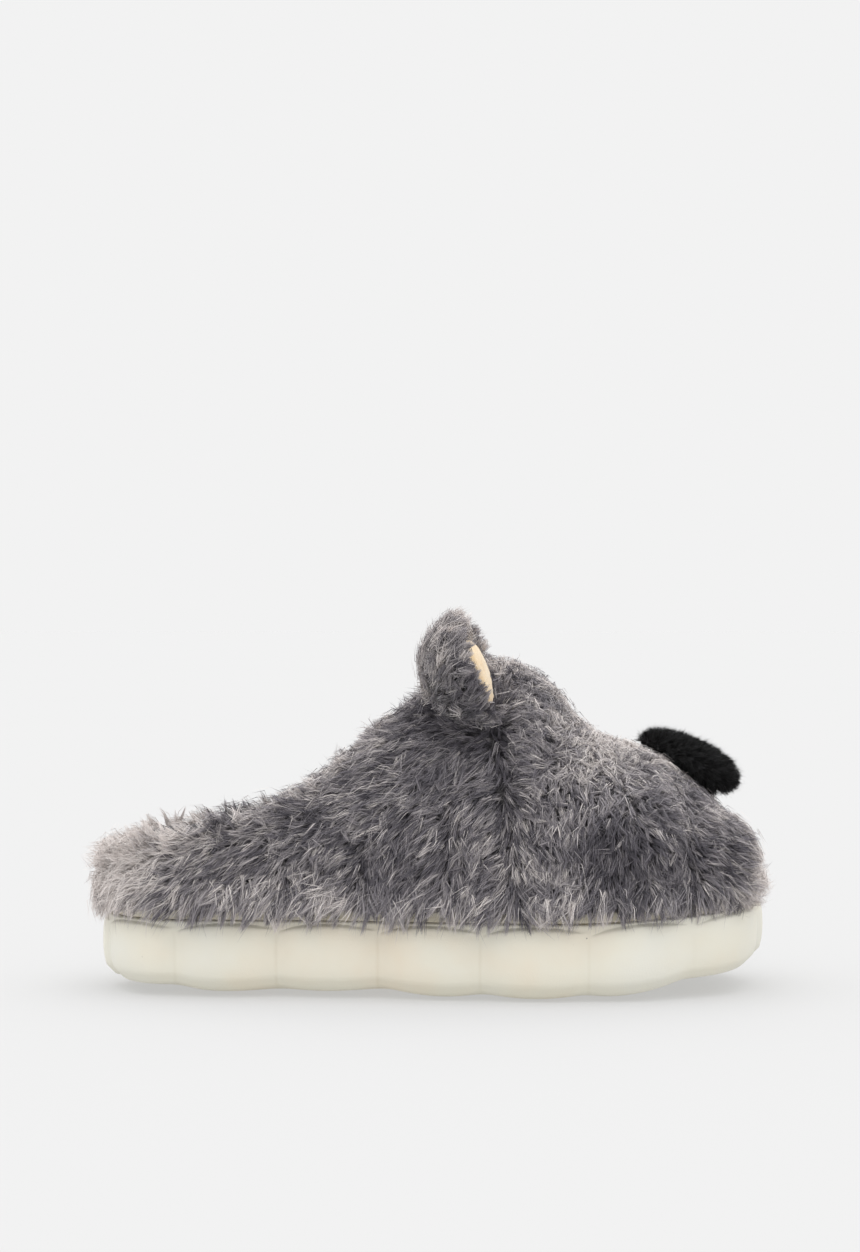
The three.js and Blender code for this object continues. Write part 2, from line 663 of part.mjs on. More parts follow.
// Locks all over the form, in staggered rows, clear of the collar, the ears and the nose.
function bodyLocks(keepOut) {
  const random = () => THREE.MathUtils.seededRandom();
  THREE.MathUtils.seededRandom(5);
  const locks = [];
  const length = outline.getLength() / 2;
  const rows = Math.round(length / (LOCK_PITCH * LOCK_ROW_PITCH));
  for (let i = 1; i < rows; i++) {
    const along = i / rows;
    let girth = 0;
    for (let j = 0; j < ARCH_STEPS; j++) {
      const from = outerForm.point(along, j / ARCH_STEPS);
      girth += from.distanceTo(outerForm.point(along, (j + 1) / ARCH_STEPS));
    }
    const count = Math.max(3, Math.round(girth / LOCK_PITCH));
    for (let j = 0; j <= count; j++) {
      const stray = LOCK_STAGGER * (random() - 0.5 + (i % 2 ? 1 : -1));
      const turn = THREE.MathUtils.clamp((j + stray) / count, LOCK_END, 1 - LOCK_END);
      const root = outerForm.point(along, turn);
      const normal = formNormal(along, turn);
      const flow = pileFlow(root, normal, Math.sin(Math.PI * turn));
      const fade = 1 - LOCK_FADE * Math.abs(2 * along - 1) ** 6;
      const size = (LOCK_SMALLEST + LOCK_SPREAD * random()) * fade;
      while (puffs.some((puff) => within(root, puff.middle, puff.half, 0) < 1)) {
        root.addScaledVector(normal, 0.5);
      }
      const onCollar = shareAt(root.x) < COLLAR[COLLAR.length - 1].at;
      const cutAway = onCollar && overCollar(root) > -LOCK_OVER;
      const tip = lockTip(root, normal, flow, size);
      if (!cutAway && !keepOut(root) && !keepOut(tip)) locks.push(lock(root, normal, flow, size));
    }
  }
  return locks;
}

// Locks on the rolled edge, swept back and outwards.
function collarLocks(path, keepOut) {
  const locks = [];
  path.forEach(({ place, radius }, k) => {
    const { out, up } = collarFrame(path, k);
    const tilt = THREE.MathUtils.degToRad(k % 2 ? 25 : 70);
    const normal = out.clone().multiplyScalar(Math.cos(tilt)).addScaledVector(up, Math.sin(tilt));
    const root = place.clone().addScaledVector(normal, radius);
    const flow = V(-0.6, 0, 0.4).addScaledVector(out, 0.3);
    flow.addScaledVector(normal, -flow.dot(normal)).normalize();
    const tip = lockTip(root, normal, flow, COLLAR_LOCK);
    if (!keepOut(root) && !keepOut(tip)) locks.push(lock(root, normal, flow, COLLAR_LOCK));
  });
  return locks;
}

// Where an ear stands: its middle, with local +Z to the front and +Y up.
function earMatrix(side) {
  const rad = THREE.MathUtils.degToRad;
  const upright = new THREE.Matrix4().makeBasis(V(0, 1, 0), V(0, 0, 1), V(1, 0, 0));
  return new THREE.Matrix4()
    .makeTranslation(xAt(EAR.at), side * EAR.out * BALL_WIDTH, formHeight(EAR.up))
    .multiply(new THREE.Matrix4().makeRotationZ(side * rad(EAR.turn)))
    .multiply(new THREE.Matrix4().makeRotationX(-side * rad(EAR.splay)))
    .multiply(new THREE.Matrix4().makeRotationY(rad(EAR.lean)))
    .multiply(upright);
}

function noseMatrix() {
  return new THREE.Matrix4()
    .makeTranslation(xAt(NOSE.at), NOSE.medial * BALL_WIDTH, formHeight(NOSE.up))
    .multiply(new THREE.Matrix4().makeRotationY(THREE.MathUtils.degToRad(NOSE.slope)));
}

// Rings of locks round an ear's back, from its rim to its middle: how many, and degrees back.
const EAR_RINGS = [
  { count: 8, tilt: 12 },
  { count: 6, tilt: 38 },
  { count: 4, tilt: 64 },
];

// The furred back of an ear, with the seat of its lining, seated on the head.
function earShell(side, seat) {
  const matrix = earMatrix(side);
  const [halfX, halfY] = [EAR_WIDTH / 2, EAR_HEIGHT / 2];
  const body = new THREE.SphereGeometry(1, BALL_SIDES, BALL_RINGS);
  const points = body.attributes.position;
  for (let i = 0; i < points.count; i++) {
    const z = points.getZ(i);
    points.setXYZ(i, points.getX(i) * halfX, points.getY(i) * halfY, z * (z < 0 ? EAR_DEPTH : EAR_FRONT));
  }
  const locks = [];
  const turnOf = new THREE.Matrix4().extractRotation(matrix);
  EAR_RINGS.forEach((ring, i) => {
    const tilt = THREE.MathUtils.degToRad(ring.tilt);
    for (let k = 0; k < ring.count; k++) {
      const turn = (2 * Math.PI * (k + 0.5 * i)) / ring.count;
      const unit = V(Math.cos(turn) * Math.cos(tilt), Math.sin(turn) * Math.cos(tilt), -Math.sin(tilt));
      const root = unit.clone().multiply(V(halfX, halfY, EAR_DEPTH));
      const normal = unit.clone().divide(V(halfX, halfY, EAR_DEPTH)).normalize();
      const flow = V(0, 1, -0.15).addScaledVector(V(Math.cos(turn), 0, 0), 0.5);
      flow.addScaledVector(normal, -flow.dot(normal)).normalize();
      root.applyMatrix4(matrix);
      locks.push(lock(root, normal.applyMatrix4(turnOf), flow.applyMatrix4(turnOf), EAR_LOCK));
    }
  });
  const seated = fromGeometry(body.applyMatrix4(matrix)).subtract(seat);
  const clear = locks.filter((piece) => piece.intersect(seat).isEmpty());
  return wasm.Manifold.union([seated, ...clear]).subtract(earLining(side, GAP));
}

// The stuffed pale lining in the front of an ear: a lens, flat behind, grown by a margin.
function earLining(side, margin) {
  const matrix = earMatrix(side);
  const half = V(EAR_WIDTH / 2 - EAR_RIM, EAR_HEIGHT / 2 - EAR_RIM, EAR_PUFF).addScalar(margin);
  const behind = new THREE.BoxGeometry(2 * EAR_WIDTH, 2 * EAR_HEIGHT, 2 * EAR_PUFF);
  behind.translate(0, 0, -LINING_SEAT - margin - EAR_PUFF);
  return pad(half, matrix, LINING_SQUARE).subtract(fromGeometry(behind.applyMatrix4(matrix)));
}

function makeParts() {
  const path = collarPath();
  const seat = wasm.Manifold.union([
    formBody(seatForm, TUCKED),
    collarRoll(path, GAP),
    ...puffs.map(({ middle, half }) =>
      pad(half.clone().addScalar(GAP), new THREE.Matrix4().setPosition(middle)),
    ),
  ]);
  const noseHalf = V(NOSE_LENGTH / 2, NOSE_WIDTH / 2, NOSE_HEIGHT / 2);
  const earHalf = V(EAR_WIDTH / 2, EAR_HEIGHT / 2, EAR_DEPTH);
  const zones = [
    { inverse: noseMatrix().invert(), half: noseHalf },
    { inverse: earMatrix(-1).invert(), half: earHalf },
    { inverse: earMatrix(1).invert(), half: earHalf },
  ];
  const keepOut = (point) =>
    zones.some(({ inverse, half }) => {
      return within(point.clone().applyMatrix4(inverse), V(0, 0, 0), half, LOCK_CLEAR) < 1;
    });
  const below = plate(() => 0, -SOLE_HEIGHT / 2, SOLE_HEIGHT / 2 + RAND_HEIGHT + 2 * GAP, 0);
  const shell = wasm.Manifold.union([
    formBody(outerForm, TUCKED),
    ...puffs.map(({ middle, half }) => pad(half, new THREE.Matrix4().setPosition(middle))),
  ]).subtract(below);
  const locks = [...bodyLocks(keepOut), ...collarLocks(path, keepOut)];
  const upper = wasm.Manifold.union([
    shell.subtract(makeInner()).subtract(collarCut()),
    collarRoll(path, 0),
    ...locks.filter((piece) => piece.intersect(below).isEmpty()),
  ]);
  const nose = pad(noseHalf, noseMatrix(), NOSE_SQUARE).subtract(seat);
  const parts = [
    ['sole', makeSole(), MATERIALS.foam],
    ['rand', makeRand(), MATERIALS.board],
    ['insole', makeInsole(), MATERIALS.footbed],
    ['upper', upper, MATERIALS.fur],
    ['nose', nose, MATERIALS.nose],
  ];
  for (const [name, side] of [['lateral', -1], ['medial', 1]]) {
    parts.push([`ear_${name}`, earShell(side, seat), MATERIALS.fur]);
    parts.push([`ear_lining_${name}`, earLining(side, 0).subtract(seat), MATERIALS.lining]);
  }
  return parts;
}

// A solid as a named mesh.
function toMesh(name, body, material) {
  const mesh = body.getMesh();
  const geometry = new THREE.BufferGeometry()
    .setAttribute('position', new THREE.BufferAttribute(mesh.vertProperties, mesh.numProp))
    .setIndex(new THREE.BufferAttribute(mesh.triVerts, 1));
  geometry.computeVertexNormals();
  const made = new THREE.Mesh(geometry, new THREE.MeshStandardMaterial(material));
  made.name = name;
  return made;
}

const slipper = new THREE.Group();
for (const [name, body, material] of makeParts()) slipper.add(toMesh(name, body, material));

export default slipper;
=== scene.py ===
"""Animal-head slipper for the right foot: long grey pile over a hollow stuffed upper, two
cupped ears, a plush nose, a foam board and a puffed foam sole.

Sizes are millimetres until a mesh is made. Places along the shoe are counted from the middle
of the heel's flat spot, as in the frame, and those in the tables from the sole's heel end.
"""

import math

import bmesh
import bpy
import numpy as np
from mathutils import Matrix, Vector
from mathutils.kdtree import KDTree


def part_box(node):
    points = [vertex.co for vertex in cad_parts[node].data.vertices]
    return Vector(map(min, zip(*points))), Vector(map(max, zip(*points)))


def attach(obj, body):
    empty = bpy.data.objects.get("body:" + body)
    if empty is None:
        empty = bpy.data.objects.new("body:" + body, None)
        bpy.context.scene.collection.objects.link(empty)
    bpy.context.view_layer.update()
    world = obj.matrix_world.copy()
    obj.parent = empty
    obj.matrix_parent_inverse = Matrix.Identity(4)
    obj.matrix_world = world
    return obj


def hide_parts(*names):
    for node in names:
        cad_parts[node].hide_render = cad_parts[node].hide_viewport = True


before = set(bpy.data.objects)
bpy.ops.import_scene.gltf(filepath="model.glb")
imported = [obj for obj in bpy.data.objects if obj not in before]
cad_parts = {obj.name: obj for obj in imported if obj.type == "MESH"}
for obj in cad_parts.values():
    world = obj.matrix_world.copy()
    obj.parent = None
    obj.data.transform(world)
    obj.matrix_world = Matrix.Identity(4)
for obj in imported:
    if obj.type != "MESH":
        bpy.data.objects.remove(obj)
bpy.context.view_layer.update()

MM = 0.001
SEED = 20

# The sole's heel end and length, and the height to which its lobes reach.
sole_low, sole_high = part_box("sole")
HEEL_END = sole_low.x / MM
SOLE_LENGTH = sole_high.x / MM - HEEL_END
LOBE_TOP = 30.0

# The thin lines where the sole's lobes meet: places from the heel end, half their width and
# the painted shade in them. Below the height after these, the whole sole is a little greyer,
# more so towards the floor.
VALLEYS = (32.4, 72.9, 112.9, 152.8, 194.9, 236.8)
VALLEY_HALF = 0.7
VALLEY_SHADE = (0.95, 0.94, 0.92, 1.0)
LOW_TINT_TOP = 12.0

# Camera: level, square to the shoe's side, as far away as the picture's perspective asks.
CAMERA_PLACE = (78.4, -1000.0, 146.5)
FOCAL_PIXELS = 2450.0
FRAME_HEIGHT = 1252.0
SENSOR = 36.0

# Light: a pale room, much brighter overhead, where its light grows between two heights from
# 0 at the horizon to 1 straight up.
BACKGROUND = 0.888
SKY_TOP = 2.75
SKY_GROWS = (0.55, 0.95)

# A white floor that glows a little. It reaches this many metres each way.
FLOOR_REACH = 60.0
FLOOR_GLOW = 0.45
FLOOR_TONE = 0.291
FLOOR_MOTTLE = 0.005

# Corners closer than this are one.
WELD = 0.01

# How often the faces of the foam are divided. Their edges stay round up to the first angle,
# in radians, and grow sharper over the second.
DIVISIONS = 2
SOFT_ANGLE = 0.3
CREASE_ANGLE = 0.35
MOST_CREASE = 0.85

# How far the board's underside settles towards the foam, which leaves a hairline between them.
RAND_SETTLE = 0.22

# How far the footbed's side spreads to meet the cloth. Its side is where normals lie flatter.
FOOTBED_SPREAD = 1.0
FOOTBED_SIDE = 0.7

# The piles. Hairs stand in tufts: `tuft` is the space between tufts, `pull` how far their tips
# draw together, `swing` how much tufts turn from the stroke and `stray` how much single hairs do.
# A share `guard` of the hairs is longer and free, and a share `down` is straight, shorter and a
# little wider.
FUR = dict(
    length=9.0, width=0.3, tuft=1.7, pull=0.75, swing=0.35, stray=0.16, guard=0.07, down=0.6,
    strands=340000, quick=120000,
)
EAR_FUR = dict(
    length=8.0, width=0.3, tuft=1.7, pull=0.7, swing=0.3, stray=0.2, guard=0.07, down=0.6,
    strands=42000, quick=12000,
)
PLUSH = dict(
    length=3.8, width=0.2, tuft=1.2, pull=0.6, swing=0.3, stray=0.3, guard=0.15, down=1.0,
    strands=55000, quick=20000,
)

# How hairs differ from each other and from their pile's values, as shares.
TUFT_LENGTHS = (0.8, 1.2)
HAIR_LENGTHS = (0.7, 1.1)
HAIR_LIFTS = (0.7, 1.3)
HAIR_PULLS = (0.5, 1.4)
HAIR_WIDTHS = (0.7, 1.3)
MOST_PULL = 0.95
FREE_HAIR = dict(stray=1.4, length=1.2, pull=0.15)
DOWN_HAIR = dict(length=0.85, width=1.15)

# How a hair runs: along the cloth for a share of its length, from a root a little deep in the
# cloth. Its middle is raised by a share of its rise, stands a share of the way to its tip and
# strays by a share of its length. Its flat side turns at random, in radians.
HAIR_ALONG = 0.85
ROOT_DEPTH = 0.5
MIDDLE_RISE = 0.7
MIDDLE_WAY = 0.3
MIDDLE_WANDER = 0.05
FLAT_TURN = 0.7

# Tones run from 0, dark, to 1, pale: the middle of the furs and of the nose, and how much
# tufts and hairs differ. Free hairs are paler.
FUR_TONE = 0.5
NOSE_TONE = 0.4
TUFT_TONES = 0.25
HAIR_TONES = 0.12
FREE_TONE = 0.08
TONE_LIMITS = (0.03, 0.97)

# From PALE_FROM up, hairs lose more and more of the painted shade that darkens roots and the
# painted light that lightens tips, up to a share PALE_SHARE, and take this even shade instead.
PALE_FROM = 0.5
PALE_SHARE = 0.8
PALE_SHADE = 1.2

# Painted light: how much paler the pile is where the cloth turns away from the shoe's sides to
# face up, forward or back. Painted shade: how much darker it is for each millimetre that a
# crease is deep.
TURN_PAINTED_LIGHT = 0.42
TURN_POWER = 1.5
CREASE_SHADE = 0.04

# The pile's lower edge over the board: how high it is, how far up it fades, how much closer
# the hairs stand there and how much paler they are.
HEM_HEIGHT = 36.0
HEM_LIGHT_HEIGHT = 35.0
HEM_FADE = 4.0
FRINGE = 1.6
HEM_LIGHT = 0.15

# Cloth under the fur: how far it lies inside the solid, near whose surface the tips end, and
# the heights between which it comes to that from less at the hem.
CLOTH_INSET = 4.5
HEM_INSET = 0.7
INSET_GROWS = (36.0, 48.0)

# A line through the foot's room. The upper's outer side faces away from it, apart from its
# underside, which is low down and faces down.
CORE_ENDS = (-22.0, 190.0)
CORE_SIDE = 1.0
CORE_HEIGHT = 62.0
LEAST_OUTWARD = 0.5
UNDERSIDE_TOP = 40.0
UNDERSIDE_TILT = -0.5

# How much longer or shorter the upper's hairs are: by place from the heel end, shorter over
# the muzzle, and by height, longer where they hang over the board.
SCALE_ALONG = ((0, 0.9), (30, 1.0), (150, 1.0), (175, 0.9), (210, 0.85), (245, 0.85), (270, 1.05))
SCALE_UP = ((34, 1.8), (42, 1.4), (52, 1.0))

# How the ears stand, in degrees.
EAR_LEAN = 20.0
EAR_SPLAY = 10.0
EAR_TURN = 6.0

# Ear shells: how far the cloth lies inside the solid behind and in front, where it faces
# forward by more than EAR_FRONT, and how far under the lining it still does. On the head, well
# under the lining's middle and facing down, no hair grows, nor where the shell faces inwards.
EAR_INSET_BACK = 3.0
EAR_INSET_FRONT = 0.8
EAR_FRONT = 0.3
EAR_INSET_DROP = 6.0
EAR_ROOT = 18.0
EAR_ROOT_TILT = -0.4
EAR_INWARD = -1.0

# The ears' pile: how much of its stroke runs outwards, up, forward over the rim and back
# elsewhere, where the rim is by how far it faces forward, and how the pile lifts behind and in
# front. On the shell's face it is shorter.
EAR_OUTWARD = 0.6
EAR_UPWARD = 0.4
RIM_FORWARD = 1.2
EAR_BACKWARD = 0.1
RIM_FACING = 0.1
RIM_FADE = 0.5
EAR_LIFT_BACK = 0.55
EAR_LIFT_FRONT = 0.4
EAR_FACE = 0.5
EAR_FACE_SCALE = 0.75

# How far the nose's cloth lies inside its solid, and how its pile is stroked and lifts.
NOSE_INSET = 2.0
NOSE_STROKE = (0.5, 0.0, -0.3)
NOSE_LIFT = 0.9
NOSE_UNDERSIDE = -0.9


def srgb(red, green, blue):
    """Linear colour of three display values from 0 to 255."""
    values = (np.array([red, green, blue]) / 255.0 + 0.055) / 1.055
    return (*(values**2.4), 1.0)


def grey(value):
    return (value, value, value, 1.0)


# Materials


class Nodes:
    """A material's node tree, with short ways to add and link nodes."""

    # A colour mix has its factor, its two colours and its result at these sockets.
    MIX_INPUTS = (0, 6, 7)
    MIX_RESULT = 2

    def __init__(self, name, roughness, specular, sheen=0.0):
        self.material = bpy.data.materials.new(name)
        self.material.use_nodes = True
        self.tree = self.material.node_tree
        self.shader = self.tree.nodes["Principled BSDF"]
        self.shader.inputs["Roughness"].default_value = roughness
        self.shader.inputs["Specular IOR Level"].default_value = specular
        self.shader.inputs["Sheen Weight"].default_value = sheen
        self.shader.inputs["Sheen Roughness"].default_value = 0.5

    def feed(self, socket, value):
        """Links a socket to another one, or sets it to a value."""
        if isinstance(value, bpy.types.NodeSocket):
            self.tree.links.new(value, socket)
        else:
            socket.default_value = value

    def add(self, kind, inputs=None, **settings):
        node = self.tree.nodes.new(kind)
        for key, value in settings.items():
            setattr(node, key, value)
        for key, value in (inputs or {}).items():
            self.feed(node.inputs[key], value)
        return node

    def place(self):
        """The place on the object, in metres."""
        return self.add("ShaderNodeTexCoord").outputs["Object"]

    def split(self, vector):
        return self.add("ShaderNodeSeparateXYZ", {"Vector": vector}).outputs

    def ramp(self, factor, stops):
        node = self.add("ShaderNodeValToRGB", {"Fac": factor})
        elements = node.color_ramp.elements
        while len(elements) < len(stops):
            elements.new(0.5)
        for element, (place, colour) in zip(elements, stops):
            element.position = place
            element.color = colour
        return node.outputs["Color"]

    def noise(self, scale, detail, rough=0.5, vector=None):
        """Noise in space. scale is in cycles a metre."""
        if vector is None:
            vector = self.place()
        inputs = {"Scale": scale, "Detail": detail, "Roughness": rough, "Vector": vector}
        return self.add("ShaderNodeTexNoise", inputs).outputs["Fac"]

    def band(self, value, low, high):
        """A length in metres turned to 0 at one number of millimetres and 1 at another."""
        inputs = {"Value": value, "From Min": low * MM, "From Max": high * MM}
        return self.add("ShaderNodeMapRange", inputs).outputs["Result"]

    def mix(self, factor, first, second, mode="MIX"):
        node = self.add("ShaderNodeMix", data_type="RGBA", blend_type=mode)
        for index, value in zip(self.MIX_INPUTS, (factor, first, second)):
            self.feed(node.inputs[index], value)
        return node.outputs[self.MIX_RESULT]

    def times(self, first, second, share=1.0):
        """One colour multiplied by a share of another."""
        return self.mix(share, first, second, "MULTIPLY")

    def colour(self, socket):
        self.tree.links.new(socket, self.shader.inputs["Base Color"])

    def bump(self, height, distance, strength=1.0):
        inputs = {"Height": height, "Distance": distance * MM, "Strength": strength}
        normal = self.add("ShaderNodeBump", inputs).outputs["Normal"]
        self.tree.links.new(normal, self.shader.inputs["Normal"])


def pile_material(name, stops, painted_root_shade, roughness, sheen):
    """Hair coloured by two numbers that each strand carries: its tone across the map and the
    way from its root to its tip up the map, which gives painted shade at the root and painted
    light towards the tip."""
    nodes = Nodes(name, roughness, specular=0.25, sheen=sheen)
    carried = nodes.split(nodes.add("ShaderNodeUVMap", uv_map="OFBake").outputs["UV"])
    tone = nodes.ramp(carried["X"], stops)
    depth = nodes.ramp(carried["Y"], painted_root_shade)
    inputs = {"Value": carried["X"], "From Min": PALE_FROM, "To Max": PALE_SHARE}
    pale = nodes.add("ShaderNodeMapRange", inputs).outputs["Result"]
    nodes.colour(nodes.times(tone, nodes.mix(pale, depth, grey(PALE_SHADE))))
    return nodes.material


def fur_material():
    stops = [
        (0.0, srgb(74, 71, 78)),
        (0.3, srgb(112, 108, 114)),
        (0.55, srgb(142, 137, 140)),
        (0.8, srgb(176, 170, 170)),
        (1.0, srgb(214, 207, 203)),
    ]
    # Painted shade deep at the roots and painted light towards the tips.
    painted_root_shade = [(0.0, grey(0.2)), (0.35, grey(0.55)), (0.7, grey(1.15)), (1.0, grey(1.6))]
    return pile_material("long_grey_pile", stops, painted_root_shade, roughness=0.6, sheen=0.25)


def black_pile_material():
    stops = [(0.0, srgb(9, 9, 10)), (0.6, srgb(20, 20, 21)), (1.0, srgb(52, 52, 54))]
    # Painted shade deep at the roots.
    painted_root_shade = [(0.0, grey(0.3)), (1.0, grey(1.0))]
    return pile_material("black_pile", stops, painted_root_shade, roughness=0.75, sheen=0.1)


def cloth_material(name, dark, light, grain=900.0):
    """Knitted backing under pile, or short plush."""
    nodes = Nodes(name, roughness=0.95, specular=0.15, sheen=0.3)
    patches = nodes.noise(60.0, detail=4.0, rough=0.6)
    fibres = nodes.noise(grain, detail=5.0, rough=0.7)
    base = nodes.ramp(patches, [(0.3, dark), (0.7, light)])
    depth = nodes.ramp(fibres, [(0.3, grey(0.6)), (0.7, grey(1.1))])
    nodes.colour(nodes.times(base, depth, share=0.8))
    nodes.bump(fibres, distance=0.9)
    return nodes.material


def foam_material():
    """Matt moulded foam with a fine skin: warm patches, a little greyer near the floor, painted
    shade in the lines between the lobes, darker ends and a few pores."""
    nodes = Nodes("moulded_foam", roughness=0.7, specular=0.3, sheen=0.05)
    place = nodes.place()
    parts = nodes.split(place)
    along = nodes.band(parts["X"], HEEL_END, HEEL_END + SOLE_LENGTH)
    patched = foam_patches(nodes, along, parts["Z"])
    lined = foam_lines(nodes, patched, along, parts["Z"])
    nodes.colour(foam_pores(nodes, lined, place))
    nodes.bump(nodes.noise(1500.0, detail=4.0, rough=0.6), distance=0.12, strength=0.6)
    return nodes.material


def foam_patches(nodes, along, height):
    patches = [(0.35, srgb(234, 232, 221)), (0.52, srgb(235, 231, 216)), (0.72, srgb(236, 226, 207))]
    warm = nodes.ramp(nodes.noise(22.0, detail=3.0, rough=0.55), patches)
    # A little greyer towards the floor.
    low = nodes.band(height, 0.0, LOW_TINT_TOP)
    low_tinted = nodes.times(warm, nodes.ramp(low, [(0.0, srgb(246, 246, 243)), (1.0, grey(1.0))]))
    ends = [(0.0, grey(0.985)), (0.1, grey(1.0)), (0.8, grey(1.0)), (1.0, grey(0.93))]
    return nodes.times(low_tinted, nodes.ramp(along, ends))


def foam_lines(nodes, colour, along, height):
    """Painted shade in the lines between the lobes, fading out at their upper and lower ends."""
    stops = [(0.0, grey(0.0))]
    for valley in VALLEYS:
        for offset, depth in ((-VALLEY_HALF, 0.0), (0.0, 1.0), (VALLEY_HALF, 0.0)):
            stops.append(((valley + offset) / SOLE_LENGTH, grey(depth)))
    heights = [(0.0, grey(0.0)), (0.2, grey(1.0)), (0.75, grey(1.0)), (0.95, grey(0.0))]
    on_lobes = nodes.ramp(nodes.band(height, 0.0, LOBE_TOP), heights)
    lines = nodes.times(nodes.ramp(along, stops), on_lobes)
    return nodes.mix(lines, colour, nodes.times(colour, VALLEY_SHADE))


def foam_pores(nodes, colour, place):
    """Small dark specks, in a few patches."""
    cells = nodes.add("ShaderNodeTexVoronoi", {"Scale": 160.0, "Vector": place, "Randomness": 1.0})
    speck = nodes.ramp(cells.outputs["Distance"], [(0.035, grey(0.45)), (0.06, grey(1.0))])
    few = nodes.ramp(nodes.noise(45.0, detail=2.0), [(0.64, grey(0.0)), (0.7, grey(1.0))])
    return nodes.mix(few, colour, nodes.times(colour, speck))


def board_material():
    """Foam board, with faint bands that lie flat."""
    nodes = Nodes("foam_board", roughness=0.8, specular=0.25)
    stretched = nodes.add("ShaderNodeMapping", {"Vector": nodes.place(), "Scale": (1.0, 1.0, 9.0)})
    bands = nodes.noise(90.0, detail=4.0, rough=0.6, vector=stretched.outputs["Vector"])
    nodes.colour(nodes.ramp(bands, [(0.3, srgb(216, 207, 184)), (0.7, srgb(233, 227, 211))]))
    nodes.bump(nodes.noise(1300.0, detail=4.0, rough=0.6), distance=0.15, strength=0.6)
    return nodes.material


def lining_material():
    """Smooth velour: short nap with soft strokes in it."""
    nodes = Nodes("pale_velour", roughness=0.85, specular=0.15, sheen=0.5)
    strokes = nodes.noise(160.0, detail=4.0, rough=0.65)
    nap = nodes.noise(2400.0, detail=3.0, rough=0.6)
    tone = nodes.ramp(strokes, [(0.3, srgb(232, 203, 160)), (0.7, srgb(246, 225, 190))])
    depth = nodes.ramp(nap, [(0.3, grey(0.85)), (0.7, grey(1.05))])
    nodes.colour(nodes.times(tone, depth))
    nodes.bump(nap, distance=0.25)
    return nodes.material


def floor_material():
    nodes = Nodes("pale_floor", roughness=1.0, specular=0.0)
    low, high = FLOOR_TONE * (1 - FLOOR_MOTTLE), FLOOR_TONE * (1 + FLOOR_MOTTLE)
    nodes.colour(nodes.ramp(nodes.noise(0.8, detail=2.0), [(0.0, grey(low)), (1.0, grey(high))]))
    nodes.shader.inputs["Emission Color"].default_value = grey(BACKGROUND)
    nodes.shader.inputs["Emission Strength"].default_value = FLOOR_GLOW
    return nodes.material


# Meshes


def link(name, mesh, material):
    """A new object in the scene, in one material."""
    piece = bpy.data.objects.new(name, mesh)
    bpy.context.scene.collection.objects.link(piece)
    dress(piece, material)
    return piece


def dress(piece, material):
    piece.data.materials.clear()
    piece.data.materials.append(material)


def settle(piece):
    """Applies a piece's modifiers and shades it smooth."""
    shown = piece.evaluated_get(bpy.context.evaluated_depsgraph_get())
    mesh = bpy.data.meshes.new_from_object(shown)
    piece.modifiers.clear()
    old = piece.data
    piece.data = mesh
    bpy.data.meshes.remove(old)
    mesh.name = piece.name
    mesh.polygons.foreach_set("use_smooth", np.ones(len(mesh.polygons), bool))


def stand_in(name, node, material, finish):
    piece = link(name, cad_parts[node].data.copy(), material)
    weld = piece.modifiers.new("weld", "WELD")
    weld.merge_threshold = WELD * MM
    finish(piece)
    settle(piece)
    dress(piece, material)
    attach(piece, "root")
    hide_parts(node)
    return piece


def rounded(piece):
    """The node's own rows of faces, rounded by subdividing."""
    shape = bmesh.new()
    shape.from_mesh(piece.data)
    bmesh.ops.remove_doubles(shape, verts=shape.verts, dist=WELD * MM)
    bmesh.ops.join_triangles(
        shape, faces=shape.faces, angle_face_threshold=0.6, angle_shape_threshold=0.8
    )
    crease = shape.edges.layers.float.new("crease_edge")
    for edge in shape.edges:
        if len(edge.link_faces) == 2:
            sharp = (edge.calc_face_angle() - SOFT_ANGLE) / CREASE_ANGLE
            edge[crease] = min(MOST_CREASE, max(0.0, sharp))
    shape.to_mesh(piece.data)
    shape.free()
    fine = piece.modifiers.new("fine", "SUBSURF")
    fine.levels = fine.render_levels = DIVISIONS


def remeshed(voxel, rounds):
    """Even fine faces, smoothed a number of rounds."""

    def finish(piece):
        even = piece.modifiers.new("even", "REMESH")
        even.mode = "VOXEL"
        even.voxel_size = voxel * MM
        soft = piece.modifiers.new("soft", "SMOOTH")
        soft.factor = 0.5
        soft.iterations = rounds

    return finish


def geometry_of(piece):
    """Corners, normals and triangles of a settled piece, in millimetres."""
    mesh = piece.data
    mesh.calc_loop_triangles()
    places = np.empty(len(mesh.vertices) * 3)
    mesh.vertices.foreach_get("co", places)
    normals = np.empty(len(mesh.vertices) * 3)
    mesh.vertices.foreach_get("normal", normals)
    corners = np.empty(len(mesh.loop_triangles) * 3, int)
    mesh.loop_triangles.foreach_get("vertices", corners)
    return places.reshape(-1, 3) / MM, normals.reshape(-1, 3), corners.reshape(-1, 3)


def move_corners(piece, places):
    piece.data.vertices.foreach_set("co", (places * MM).ravel())
    piece.data.update()


def sink(piece, depth):
    """Moves the corners of a settled piece inwards by depth(places, normals)."""
    places, normals, _ = geometry_of(piece)
    move_corners(piece, places - normals * depth(places, normals)[:, None])


def lower(piece, drop):
    """Moves the underside of a settled piece down."""
    places, normals, _ = geometry_of(piece)
    places[:, 2] -= drop * (normals[:, 2] < 0)
    move_corners(piece, places)


